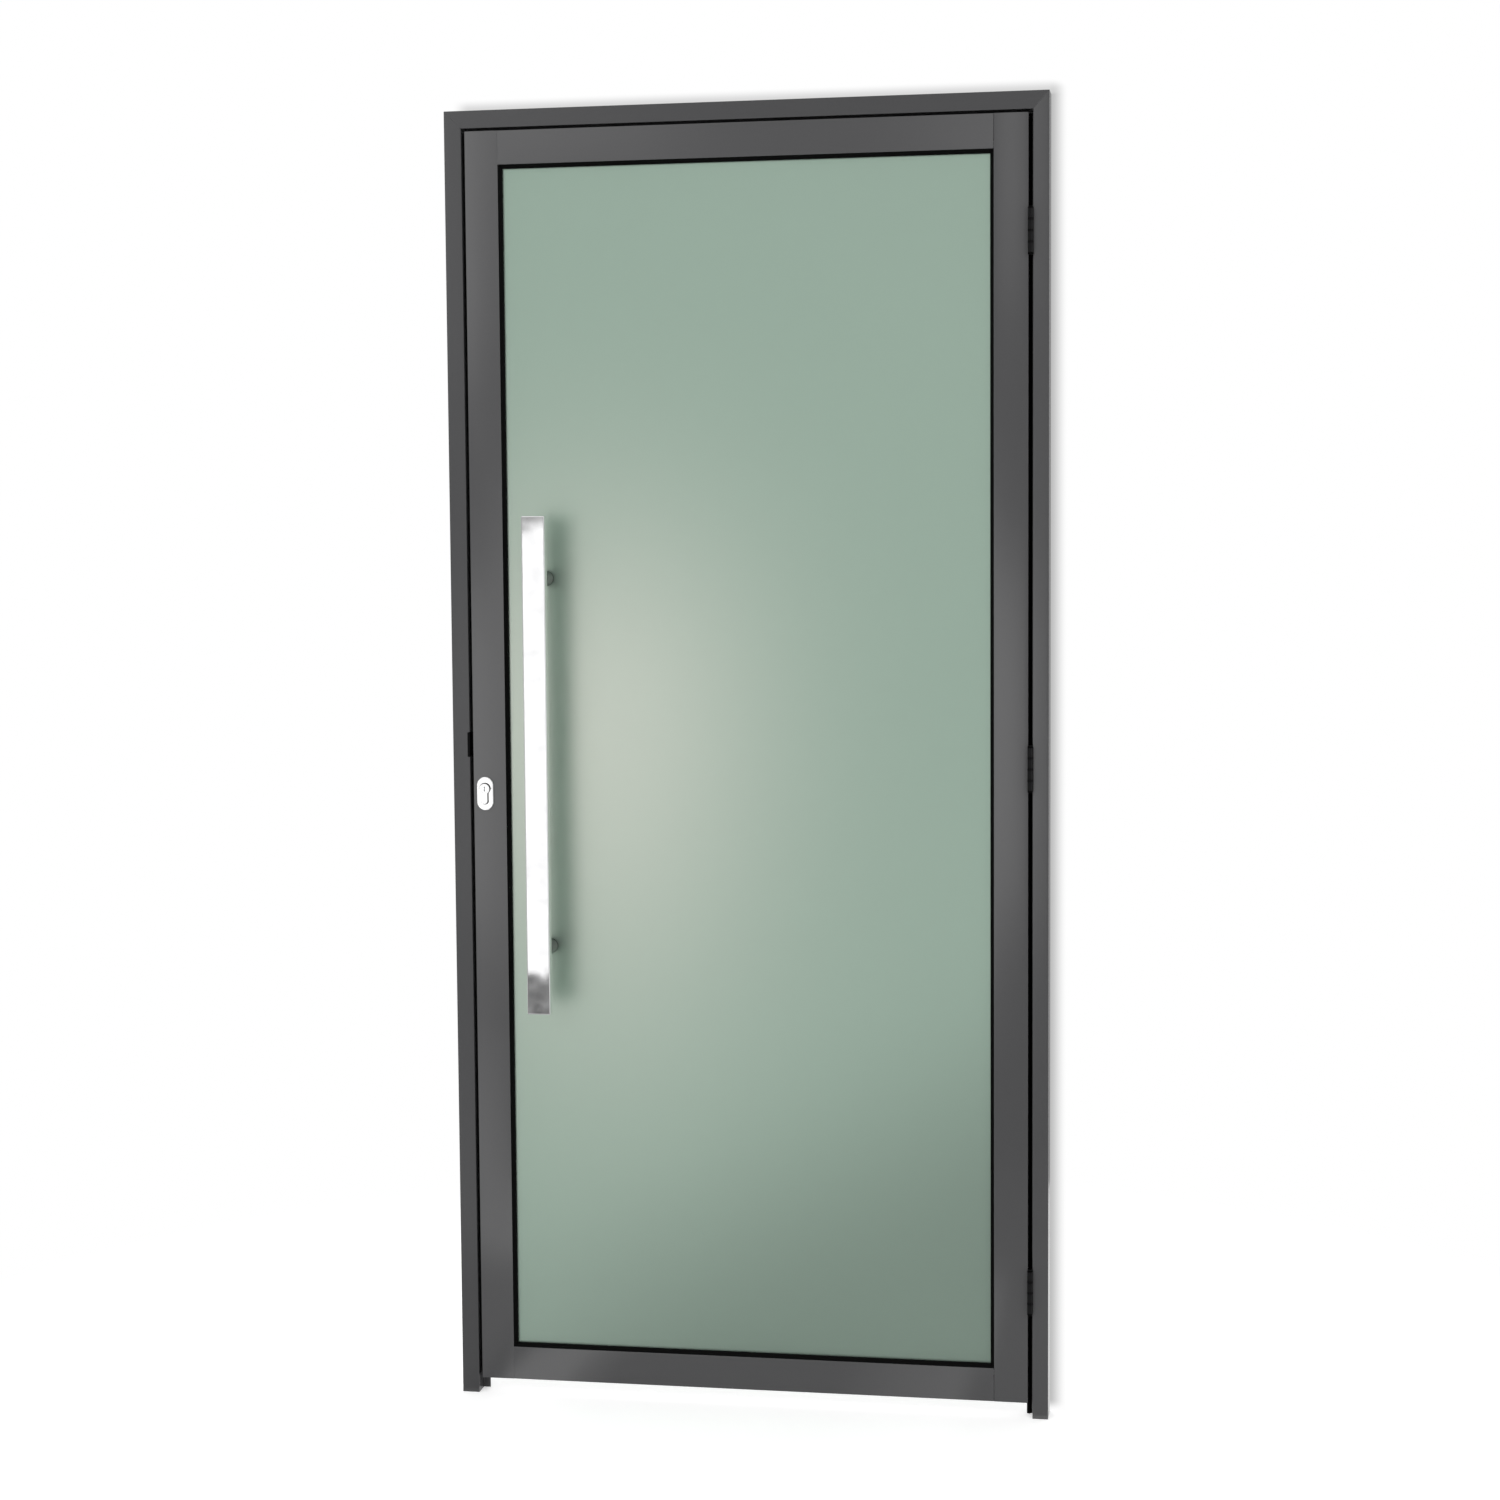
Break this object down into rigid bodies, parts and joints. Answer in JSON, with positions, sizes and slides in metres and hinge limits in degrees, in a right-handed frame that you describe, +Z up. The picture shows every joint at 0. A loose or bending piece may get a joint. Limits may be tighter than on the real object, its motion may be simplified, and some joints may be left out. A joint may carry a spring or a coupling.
{
  "type": "aluminium swing door",
  "caption": "Hinged door with a slim dark aluminium frame, a frosted glass leaf, long flat-bar pull handles and a cylinder lock.",
  "frame": {"origin": "middle of the hinge jamb's flat outer side face, at mid height and mid depth of the frame", "axes": "+Z up along the jambs, +X out of the hinge jamb towards the wall, +Y through the doorway away from the side where the hinge barrels and the front handle stand"},
  "size_m": [0.97, 0.178, 2.1],
  "materials": {
    "frame_paint": "satin dark grey powder coat",
    "leaf_paint": "satin mid-dark grey powder coat",
    "rubber": "matt black",
    "black_metal": "satin black",
    "satin_glass": "frosted, pale grey-green",
    "chrome": "polished",
    "lock_steel": "brushed"
  },
  "bodies": {
    "frame": {"lock_jamb": "frame_paint", "hinge_jamb": "frame_paint", "head": "frame_paint", "lock_seal": "rubber", "hinge_seal": "rubber", "head_seal": "rubber", "keeper": "black_metal", "bottom_hinge_frame_wing": "black_metal", "middle_hinge_frame_wing": "black_metal", "top_hinge_frame_wing": "black_metal", "bottom_hinge_pin": "black_metal", "middle_hinge_pin": "black_metal", "top_hinge_pin": "black_metal"},
    "leaf": {"bottom_hinge_leaf_wing": "black_metal", "middle_hinge_leaf_wing": "black_metal", "top_hinge_leaf_wing": "black_metal", "lock_stile": "leaf_paint", "hinge_stile": "leaf_paint", "top_rail": "leaf_paint", "bottom_rail": "leaf_paint", "lock_bead": "leaf_paint", "hinge_bead": "leaf_paint", "top_bead": "leaf_paint", "bottom_bead": "leaf_paint", "glass": "satin_glass", "front_gasket": "rubber", "back_gasket": "rubber", "lock_case": "lock_steel", "latch_bolt": "lock_steel", "dead_bolt": "lock_steel", "lock_cylinder": "chrome", "front_escutcheon": "chrome", "back_escutcheon": "chrome", "front_handle_bar": "chrome", "back_handle_bar": "chrome", "front_lower_post": "chrome", "front_upper_post": "chrome", "back_lower_post": "chrome", "back_upper_post": "chrome", "front_lower_washer": "rubber", "front_upper_washer": "rubber", "back_lower_washer": "rubber", "back_upper_washer": "rubber"}
  },
  "joints": [
    {"name": "door_swing", "type": "hinge", "parent": "frame", "child": "leaf", "pos_m": [-0.02875, -0.0285, 0], "axis": [0, 0, 1], "range_deg": [0, 110]}
  ]
}
